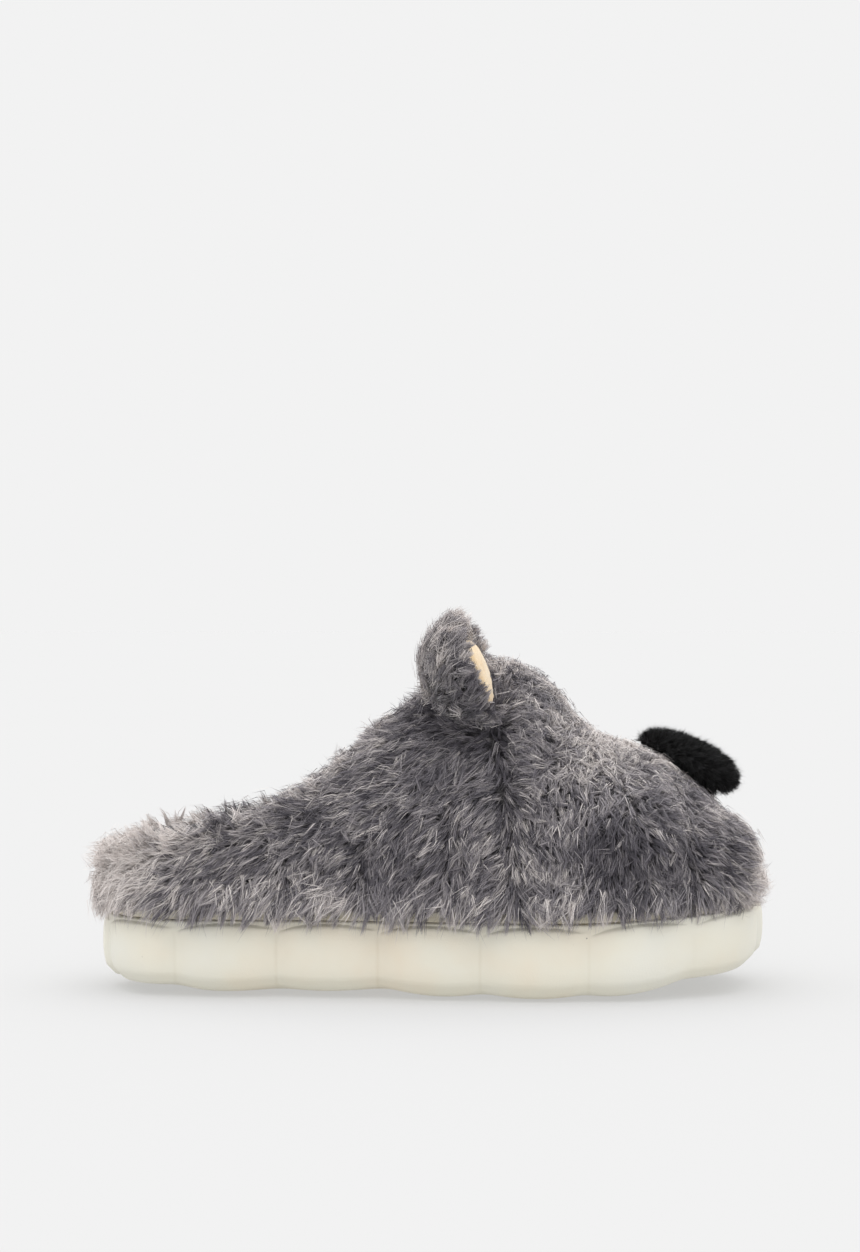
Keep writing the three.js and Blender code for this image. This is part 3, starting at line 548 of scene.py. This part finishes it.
def drop_islands(piece):
    """Leaves only a settled piece's largest body: thin locks can come loose in the voxels."""
    shape = bmesh.new()
    shape.from_mesh(piece.data)
    bodies, seen = [], set()
    for start in shape.verts:
        if start in seen:
            continue
        seen.add(start)
        body, front = [start], [start]
        while front:
            reached = [edge.other_vert(vert) for vert in front for edge in vert.link_edges]
            front = [vert for vert in dict.fromkeys(reached) if vert not in seen]
            seen.update(front)
            body += front
        bodies.append(body)
    bodies.sort(key=len)
    loose = [vert for body in bodies[:-1] for vert in body]
    bmesh.ops.delete(shape, geom=loose, context="VERTS")
    shape.to_mesh(piece.data)
    shape.free()


def unit(vectors):
    return vectors / np.maximum(np.linalg.norm(vectors, axis=-1, keepdims=True), 1e-9)


def bell(distance, width):
    """1 at no distance, and fading to 0 over a few widths."""
    return np.exp(-((distance / width) ** 2))


def scatter(piece, count, rng, wanted):
    """Random roots on a piece: places and normals, as close as wanted(places, normals) says."""
    places, normals, corners = geometry_of(piece)
    a, b, c = (places[corners[:, i]] for i in range(3))
    across = np.cross(b - a, c - a)
    area = np.linalg.norm(across, axis=1) * wanted((a + b + c) / 3, unit(across))
    picks = rng.choice(len(corners), count, p=area / area.sum())
    u, v = rng.random(count), rng.random(count)
    over = u + v > 1
    u[over], v[over] = 1 - u[over], 1 - v[over]
    weights = np.stack([1 - u - v, u, v], 1)[:, :, None]
    chosen = corners[picks]
    return (places[chosen] * weights).sum(1), unit((normals[chosen] * weights).sum(1))


# Stroke, tone and creases of the pile

# Which way the pile lies, as listed strokes: place from the sole's heel end and height,
# direction towards the toe and up, and how far it lifts off the cloth.
STROKES = np.array(
    [
        (-3, 48, -1, 0.1, 0.6), (3, 62, -0.7, 0.7, 0.6), (20, 66, -0.45, 0.8, 0.6),
        (0, 38, -0.7, -0.8, 0.3), (22, 37, -0.5, -1, 0.3), (50, 37, -0.35, -1, 0.3),
        (20, 48, -0.85, -0.4, 0.45), (45, 70, -0.5, 0.7, 0.55), (45, 56, -0.8, -0.45, 0.4),
        (45, 42, -0.5, -0.9, 0.35), (75, 80, -0.55, 0.6, 0.5), (75, 64, -0.75, -0.55, 0.4),
        (75, 42, -0.35, -0.95, 0.35), (110, 106, -0.75, 0.3, 0.45), (110, 86, -0.85, -0.3, 0.4),
        (110, 62, -0.65, -0.75, 0.4), (110, 42, -0.3, -1, 0.35), (135, 112, -0.8, 0.0, 0.4),
        (145, 90, -0.6, -0.7, 0.4), (150, 62, -0.3, -0.95, 0.35), (150, 40, -0.2, -1, 0.35),
        (150, 128, -0.5, 0.5, 0.5), (165, 136, 0.1, 0.6, 0.55), (176, 112, -0.1, -0.6, 0.4),
        (186, 126, 0.6, 0.4, 0.55), (198, 106, 0.4, 0.6, 0.45), (192, 88, -0.3, -0.6, 0.4),
        (205, 72, -0.1, -0.95, 0.35), (200, 56, -0.3, -1, 0.35), (205, 40, -0.35, -1, 0.35),
        (212, 98, 0.5, 0.7, 0.5), (222, 82, 0.8, 0.1, 0.45), (228, 66, 0.8, -0.3, 0.4),
        (228, 50, 0.2, -0.9, 0.35), (238, 40, 0.1, -0.95, 0.35), (246, 82, 0.7, -0.5, 0.5),
        (254, 62, 0.85, -0.3, 0.45), (256, 44, 0.5, -0.8, 0.4), (266, 46, 0.95, -0.2, 0.5),
        (268, 56, 0.8, 0.2, 0.5),
    ],
    float,
)

# How strokes blend: each counts by one over its squared distance plus a core, to a power.
STROKE_CORE = 30.0
STROKE_POWER = 1.5

# Painted light and shade on the pile: lighter on the heel's top, the muzzle's top and the toe,
# where light falls, and darker under the ear and in hollows. From the heel end, height, radius
# and change of tone.
LIGHT_AND_SHADE_SPOTS = np.array(
    [
        (4, 64, 26, 1.1), (36, 72, 14, 0.35), (60, 34, 24, 0.15), (208, 101, 22, 0.25),
        (188, 88, 12, 0.12), (270, 50, 16, 0.6), (170, 134, 14, 0.16), (140, 152, 12, 0.25),
        (144, 110, 16, -0.3), (164, 74, 12, -0.06), (212, 66, 24, -0.4), (178, 116, 16, -0.2),
        (250, 62, 9, -0.15), (130, 70, 30, -0.1), (120, 50, 18, -0.1), (60, 52, 22, -0.08),
        (238, 84, 9, -0.1),
    ],
    float,
)

# Soft troughs pressed into the stuffed sides, as strokes in the side view: two ends from the
# sole's heel end and in height, width and depth.
CREASES = np.array(
    [
        (159, 110, 162, 80, 4.5, 3.5),  # the seam between quarters and head
        (162, 80, 166, 40, 4.5, 3.5),
        (128, 112, 152, 99, 7.0, 3.0),  # round the foot of the ear
        (141, 73, 142, 55, 3.5, 2.5),
        (108, 60, 107, 38, 3.5, 2.5),
        (70, 62, 76, 46, 3.0, 1.5),
        (182, 90, 170, 66, 6.0, 1.2),  # behind the cheek
        (235, 92, 237, 42, 4.5, 3.5),  # between cheek and chin
        (206, 62, 200, 44, 4.0, 0.8),
        (252, 66, 249, 46, 4.0, 2.5),
    ],
    float,
)

# The pile parts beside a crease over a wider stretch, by this factor on the squared distance.
PARTING_SPREAD = 3

# Lumps of tone are this many waves, whose lengths are a lump's size times a share in a range.
WAVES = 24
WAVE_LENGTHS = (0.7, 1.5)


def side_spot(places):
    """Places in the side view: distance from the sole's heel end, and height."""
    return np.stack([places[:, 0] - HEEL_END, places[:, 2]], 1)


def creases_at(places):
    """Depth pressed in at places, and the way that the pile parts there."""
    spot = side_spot(places)
    depth = np.zeros(len(places))
    parting = np.zeros((len(places), 3))
    for x1, z1, x2, z2, width, deep in CREASES:
        start, run = np.array([x1, z1]), np.array([x2 - x1, z2 - z1])
        along = np.clip(((spot - start) @ run) / (run @ run), 0, 1)
        away = spot - start - along[:, None] * run
        near = (away**2).sum(1) / width**2
        depth = np.maximum(depth, deep * np.exp(-near))
        parted = np.exp(-near / PARTING_SPREAD) * deep / (PARTING_SPREAD * width)
        parting[:, ::2] += away * parted[:, None]
    return depth, parting


def comb(places):
    """Blended strokes at places: directions in the side view and lifts."""
    spot = side_spot(places)
    total = np.zeros((len(places), 3))
    weights = np.zeros((len(places), 1))
    for x, z, along, up, lift in STROKES:
        away = ((spot - (x, z)) ** 2).sum(1, keepdims=True)
        near = 1 / (away + STROKE_CORE) ** STROKE_POWER
        total += near * (along, up, lift)
        weights += near
    total /= weights
    return np.stack([total[:, 0], np.zeros(len(places)), total[:, 1]], 1), total[:, 2]


def painted_light_and_shade_at(places):
    """Painted light and shade at places, as a change of tone, from the table."""
    spot = side_spot(places)
    tone = np.zeros(len(places))
    for x, z, radius, change in LIGHT_AND_SHADE_SPOTS:
        tone += change * np.exp(-((spot - (x, z)) ** 2).sum(1) / radius**2)
    return tone


def lumps(places, rng, size, change):
    """Smooth random changes about 0 over a given size, from summed waves."""
    value = np.zeros(len(places))
    for _ in range(WAVES):
        wave = rng.normal(size=3)
        wave *= 2 * math.pi / (size * rng.uniform(*WAVE_LENGTHS)) / np.linalg.norm(wave)
        value += np.cos(places @ wave + rng.random() * 2 * math.pi)
    return change * value / math.sqrt(WAVES / 2)


def painted_turn_light(normals):
    """Painted light: paler tone where the cloth turns away from the shoe's sides."""
    return TURN_PAINTED_LIGHT * (1 - np.abs(normals[:, 1])) ** TURN_POWER


# Hair

# A strand's corners, for a bent one and a straight one: the order of its triangles' corners,
# the side that each corner is on and how far up the strand it is.
BENT = (
    np.array([0, 1, 3, 0, 3, 2, 2, 3, 4]),
    np.array([-1, 1, -1, 1, 0]),
    np.array([0.02, 0.02, 0.5, 0.5, 0.98]),
)
STRAIGHT = (np.array([0, 1, 2]), np.array([-1, 1, 0]), np.array([0.02, 0.02, 0.98]))

# How wide a bent strand still is at its middle, and how far its tone spreads across the map.
MIDDLE_WIDTH = 0.8
TONE_SPREAD = 0.01


def hair_mesh(name, roots, middles, tips, sides, widths, tones, straight):
    """Flat tapered strands, with each strand's tone and depth in its map. A bent strand has
    three triangles and a straight one a single triangle."""
    half = sides * widths[:, None] / 2
    low = [roots - half, roots + half]
    centre = [middles - MIDDLE_WIDTH * half, middles + MIDDLE_WIDTH * half]
    tones = np.clip(tones, *TONE_LIMITS)
    places, loops, flat, first = [], [], [], 0
    kinds = ((~straight, [*low, *centre, tips], BENT), (straight, [*low, tips], STRAIGHT))
    for chosen, points, (order, across, upward) in kinds:
        count, size = int(chosen.sum()), len(points)
        places.append(np.stack([point[chosen] for point in points], 1).reshape(-1, 3))
        loops.append((first + np.arange(count)[:, None] * size + order).ravel())
        u = tones[chosen][:, None] + TONE_SPREAD * across
        v = np.broadcast_to(upward, (count, size))
        flat.append(np.stack([u, v], 2)[:, order].reshape(-1, 2))
        first += count * size
    return triangle_mesh(name, *(np.concatenate(parts) for parts in (places, loops, flat)))


def triangle_mesh(name, places, loops, flat):
    """A mesh of triangles from places in millimetres, corners in order and their map."""
    mesh = bpy.data.meshes.new(name)
    mesh.vertices.add(len(places))
    mesh.vertices.foreach_set("co", (places * MM).ravel())
    mesh.loops.add(len(loops))
    mesh.loops.foreach_set("vertex_index", loops)
    mesh.polygons.add(len(loops) // 3)
    mesh.polygons.foreach_set("loop_start", np.arange(len(loops) // 3) * 3)
    mesh.update(calc_edges=True)
    mesh.polygons.foreach_set("use_smooth", np.ones(len(mesh.polygons), bool))
    mesh.uv_layers.new(name="OFBake").data.foreach_set("uv", flat.ravel())
    return mesh


def strands(pile):
    return pile["strands"]


def laid(directions, normals):
    """Directions turned to lie along the cloth."""
    return unit(directions - (directions * normals).sum(1, keepdims=True) * normals)


def reach(roots, along, normals, rise, length):
    """Tips of hairs that run along the cloth and rise off it."""
    return roots + (along * HAIR_ALONG + normals * rise[:, None]) * length[:, None]


def tuft_leaders(roots, spacing, rng):
    """Roots that lead tufts: one in each cell of a jittered grid."""
    cells = np.floor((roots + rng.random(3) * spacing) / spacing).astype(int)
    _, first = np.unique(cells, axis=0, return_index=True)
    return first


def gather(roots, normals, flow, lift, scale, pile, rng):
    """The tufts of a pile: the tuft of each root, and the direction, length and tip of each
    tuft's leader."""
    leaders = tuft_leaders(roots, pile["tuft"], rng)
    tree = KDTree(len(leaders))
    for i, lead in enumerate(leaders):
        tree.insert(roots[lead], i)
    tree.balance()
    tuft = np.array([tree.find(root)[1] for root in roots])
    swing = rng.normal(size=(len(leaders), 3)) * pile["swing"]
    along = laid(flow[leaders] + swing, normals[leaders])
    length = pile["length"] * np.broadcast_to(scale, len(roots))[leaders]
    length = length * rng.uniform(*TUFT_LENGTHS, len(leaders))
    return tuft, along, length, reach(roots[leaders], along, normals[leaders], lift[leaders], length)


def grow(name, roots, normals, flow, lift, tone, pile, rng, material, scale=1.0):
    """Strands of a pile from roots, laid along flow and gathered into tufts. scale makes the
    hairs of each root longer or shorter."""
    count = len(roots)
    tuft, tuft_flow, tuft_length, tuft_tips = gather(roots, normals, flow, lift, scale, pile, rng)

    kind = rng.random(count)
    straight = kind < pile["down"]
    free = kind > 1 - pile["guard"]
    stray = pile["stray"] * np.where(free, FREE_HAIR["stray"], 1.0)
    along = laid(tuft_flow[tuft] + rng.normal(size=(count, 3)) * stray[:, None], normals)
    length = tuft_length[tuft] * rng.uniform(*HAIR_LENGTHS, count)
    length *= np.where(free, FREE_HAIR["length"], np.where(straight, DOWN_HAIR["length"], 1.0))
    rise = lift * rng.uniform(*HAIR_LIFTS, count)
    tips = reach(roots, along, normals, rise, length)
    pull = np.where(free, FREE_HAIR["pull"], pile["pull"] * rng.uniform(*HAIR_PULLS, count))
    tips += (tuft_tips[tuft] - tips) * np.minimum(pull, MOST_PULL)[:, None]
    middles = roots + normals * (rise * length * MIDDLE_RISE)[:, None] + (tips - roots) * MIDDLE_WAY
    middles += rng.normal(size=(count, 3)) * MIDDLE_WANDER * length[:, None]

    sides = laid(np.cross(tips - roots, normals), unit(tips - roots))
    turn = (rng.normal(size=count) * FLAT_TURN)[:, None]
    sides = sides * np.cos(turn) + normals * np.sin(turn)
    widths = pile["width"] * rng.uniform(*HAIR_WIDTHS, count)
    widths *= np.where(straight, DOWN_HAIR["width"], 1.0)
    tones = tone + HAIR_TONES * rng.normal(size=count)
    tones += (TUFT_TONES * rng.normal(size=len(tuft_length)))[tuft] + np.where(free, FREE_TONE, 0.0)
    deep_roots = roots - normals * ROOT_DEPTH
    mesh = hair_mesh(name, deep_roots, middles, tips, sides, widths, tones, straight)
    piece = link(name, mesh, material)
    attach(piece, "root")
    return piece


# The upper


def is_outside(places, normals):
    """True on the upper's outer side and over its collar, not inside or underneath."""
    core = np.empty_like(places)
    core[:, 0] = np.clip(places[:, 0], *CORE_ENDS)
    core[:, 1:] = CORE_SIDE, CORE_HEIGHT
    outward = ((places - core) * normals).sum(1)
    under = (places[:, 2] < UNDERSIDE_TOP) & (normals[:, 2] < UNDERSIDE_TILT)
    return (outward > LEAST_OUTWARD) & ~under


def cloth_depth(places, normals):
    """How far the cloth lies inside the solid: less where it stands on the board, more in
    the creases of the sides."""
    inset = np.interp(places[:, 2], INSET_GROWS, [HEM_INSET, CLOTH_INSET])
    return is_outside(places, normals) * (inset + creases_at(places)[0] * np.abs(normals[:, 1]))


def pile_density(places, normals):
    """Roots wanted on the upper: only outside, and closer where the pile hangs over the board."""
    return is_outside(places, normals) * (1 + FRINGE * bell(places[:, 2] - HEM_HEIGHT, HEM_FADE))


def pile_scale(places):
    """How much longer or shorter the upper's hairs are at places."""
    along = np.interp(places[:, 0] - HEEL_END, *zip(*SCALE_ALONG))
    return along * np.interp(places[:, 2], *zip(*SCALE_UP))


def build_upper(rng):
    """The coat and its fur. Returns the two materials, which the ears share."""
    backing = cloth_material("pile_backing", srgb(78, 76, 79), srgb(108, 105, 106))
    coat = stand_in("upper_shell", "upper", backing, remeshed(voxel=3.0, rounds=26))
    drop_islands(coat)
    sink(coat, cloth_depth)

    roots, normals = scatter(coat, strands(FUR), rng, pile_density)
    flow, lift = comb(roots)
    pressed, parting = creases_at(roots)
    on_side = np.abs(normals[:, 1])
    flow = flow + parting * on_side[:, None]
    # Painted light and shade from the table, as a change of tone.
    tone = FUR_TONE + painted_light_and_shade_at(roots)
    tone += lumps(roots, rng, size=26, change=0.06) + lumps(roots, rng, size=8, change=0.07)
    # Painted light where the cloth turns from the sides, and painted shade in the creases.
    tone += painted_turn_light(normals) - CREASE_SHADE * pressed * on_side
    tone += HEM_LIGHT * bell(roots[:, 2] - HEM_LIGHT_HEIGHT, HEM_FADE)
    scale = pile_scale(roots)
    fur = fur_material()
    stretches = np.array_split(np.argsort(roots[:, 0]), 4)
    for name, part in zip(("heel", "quarters", "head", "muzzle"), stretches):
        inputs = (array[part] for array in (roots, normals, flow, lift, tone))
        grow(f"fur_{name}", *inputs, FUR, rng, fur, scale[part])
    return fur, backing


# The ears


class Seat:
    """Where an ear stands: its front and upward directions, and its lining's middle, lowest
    height and rim. side is -1 on the outer side of the shoe, 1 on the inner."""

    def __init__(self, name, side):
        turn = Matrix.Rotation(math.radians(side * EAR_TURN), 3, "Z")
        splay = Matrix.Rotation(math.radians(-side * EAR_SPLAY), 3, "X")
        lean = Matrix.Rotation(math.radians(-EAR_LEAN), 3, "Y")
        turned = turn @ splay @ lean
        self.front = np.array(turned @ Vector((1, 0, 0)))
        self.upward = np.array(turned @ Vector((0, 0, 1)))
        low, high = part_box(f"ear_lining_{name}")
        self.middle = np.array((low + high) / 2) / MM
        self.low = low.z / MM
        self.rim = max(high.z - low.z, high.y - low.y) / 2 / MM

    def radial(self, places):
        """The way to places from the ear's axis, which runs forward through its middle."""
        out = places - self.middle
        return out - (out @ self.front)[:, None] * self.front

    def inset(self, places, normals):
        """How far the shell's cloth lies inside its solid."""
        inset = np.where(normals @ self.front < EAR_FRONT, EAR_INSET_BACK, EAR_INSET_FRONT)
        return inset * (places[:, 2] > self.low - EAR_INSET_DROP)

    def furred(self, places, normals):
        """True outside the lining's seat, off the head, and where the shell faces outwards."""
        out = self.radial(places)
        in_seat = (np.linalg.norm(out, axis=1) < self.rim) & (normals @ self.front > 0)
        low = (places - self.middle) @ self.upward < -EAR_ROOT
        on_head = low & (normals @ self.upward < EAR_ROOT_TILT)
        inward = (out * normals).sum(1) < EAR_INWARD
        return ~in_seat & ~on_head & ~inward


def build_ear(name, side, fur, backing, velour, rng):
    shell = stand_in(f"ear_shell_{name}", f"ear_{name}", backing, remeshed(voxel=1.8, rounds=14))
    fine = remeshed(voxel=0.7, rounds=4)
    lining = stand_in(f"ear_velour_{name}", f"ear_lining_{name}", velour, fine)

    seat = Seat(name, side)
    sink(shell, seat.inset)
    roots, normals = scatter(shell, strands(EAR_FUR), rng, seat.furred)
    facing = normals @ seat.front
    forward = RIM_FORWARD * bell(facing - RIM_FACING, RIM_FADE) - EAR_BACKWARD
    flow = unit(seat.radial(roots)) * EAR_OUTWARD + seat.upward * EAR_UPWARD
    flow += seat.front * forward[:, None]
    lift = np.where(facing > EAR_FRONT, EAR_LIFT_FRONT, EAR_LIFT_BACK)
    # Painted light and shade from the table and where the cloth turns, with random lumps.
    tone = FUR_TONE + painted_light_and_shade_at(roots) + lumps(roots, rng, size=12, change=0.06) + painted_turn_light(normals)
    scale = np.where(facing > EAR_FACE, EAR_FACE_SCALE, 1.0)
    piece = grow(f"ear_fur_{name}", roots, normals, flow, lift, tone, EAR_FUR, rng, fur, scale)


# Nose, sole and board


def build_nose(rng):
    under = cloth_material("black_backing", srgb(6, 6, 6), srgb(12, 12, 13))
    pad = stand_in("nose_pad", "nose", under, remeshed(voxel=1.2, rounds=4))
    sink(pad, lambda places, normals: np.full(len(places), NOSE_INSET))
    count = strands(PLUSH)
    roots, normals = scatter(pad, count, rng, lambda places, normals: normals[:, 2] > NOSE_UNDERSIDE)
    flow = np.broadcast_to(NOSE_STROKE, roots.shape)
    lift = np.full(count, NOSE_LIFT)
    tone = NOSE_TONE + lumps(roots, rng, size=5, change=0.08)
    piece = grow("nose_pile", roots, normals, flow, lift, tone, PLUSH, rng, black_pile_material())


def build_sole():
    """The foam sole, the board on it and the footbed inside."""
    sole = stand_in("sole_foam", "sole", foam_material(), rounded)
    rand = stand_in("rand_board", "rand", board_material(), rounded)
    lower(rand, RAND_SETTLE)
    footbed = cloth_material("footbed_plush", srgb(128, 124, 122), srgb(168, 163, 160), grain=1400.0)
    insole = stand_in("footbed", "insole", footbed, rounded)
    sink(insole, lambda places, normals: -FOOTBED_SPREAD * (np.abs(normals[:, 2]) < FOOTBED_SIDE))


# Floor, room and camera


def build_floor():
    mesh = bpy.data.meshes.new("floor")
    low, high = -FLOOR_REACH, FLOOR_REACH
    corners = [(low, low, 0), (high, low, 0), (high, high, 0), (low, high, 0)]
    mesh.from_pydata(corners, [], [(0, 1, 2, 3)])
    link("floor", mesh, floor_material())


def build_room():
    world = bpy.data.worlds.new("room")
    bpy.context.scene.world = world
    world.use_nodes = True
    tree = world.node_tree
    tree.nodes.clear()
    out = tree.nodes.new("ShaderNodeOutputWorld")
    back = tree.nodes.new("ShaderNodeBackground")
    tree.links.new(back.outputs["Background"], out.inputs["Surface"])
    place = tree.nodes.new("ShaderNodeTexCoord")
    split = tree.nodes.new("ShaderNodeSeparateXYZ")
    tree.links.new(place.outputs["Generated"], split.inputs["Vector"])
    ramp = tree.nodes.new("ShaderNodeValToRGB")
    tree.links.new(split.outputs["Z"], ramp.inputs["Fac"])
    for element, height, light in zip(ramp.color_ramp.elements, SKY_GROWS, (BACKGROUND, SKY_TOP)):
        element.position = height
        element.color = grey(light)
    tree.links.new(ramp.outputs["Color"], back.inputs["Color"])


def build_camera():
    lens = bpy.data.cameras.new("camera")
    lens.sensor_width = SENSOR
    lens.lens = FOCAL_PIXELS / FRAME_HEIGHT * SENSOR
    lens.clip_start = 0.05
    lens.clip_end = 200.0
    camera = bpy.data.objects.new("camera", lens)
    camera.location = Vector(CAMERA_PLACE) * MM
    camera.rotation_euler = (math.radians(90), 0, 0)
    bpy.context.scene.collection.objects.link(camera)
    bpy.context.scene.camera = camera


bpy.context.scene.view_settings.view_transform = "Standard"
rng = np.random.default_rng(SEED)
build_camera()
build_floor()
build_room()
build_sole()
fur_look, backing_look = build_upper(rng)
velour_look = lining_material()
for ear_name, ear_side in (("lateral", -1), ("medial", 1)):
    build_ear(ear_name, ear_side, fur_look, backing_look, velour_look, rng)
build_nose(rng)
